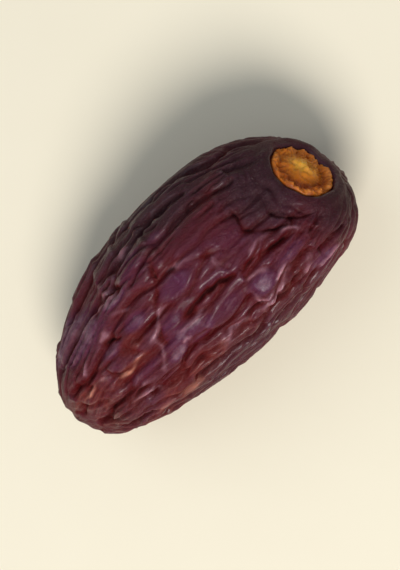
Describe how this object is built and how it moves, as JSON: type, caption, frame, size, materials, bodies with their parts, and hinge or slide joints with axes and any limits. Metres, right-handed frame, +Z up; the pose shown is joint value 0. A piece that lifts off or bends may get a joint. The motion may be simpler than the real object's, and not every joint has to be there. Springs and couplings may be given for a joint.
{
  "type": "medjool date",
  "caption": "Whole dried medjool date: an oblong, deeply wrinkled dark red-brown fruit with a pale amber scar where its stem came off.",
  "frame": {"origin": "on the resting surface, under the middle of the fruit's box", "axes": "+X along the fruit towards the stem end and its scar, +Y to the side that the fruit bows to, +Z up from the resting surface"},
  "size_m": [0.0534, 0.0266, 0.0251],
  "materials": {
    "date_skin": "wrinkled, half glossy dark red-brown skin with a thin grey bloom and an amber, fibrous stem scar"
  },
  "bodies": {
    "root": {"date": "date_skin"}
  },
  "joints": []
}
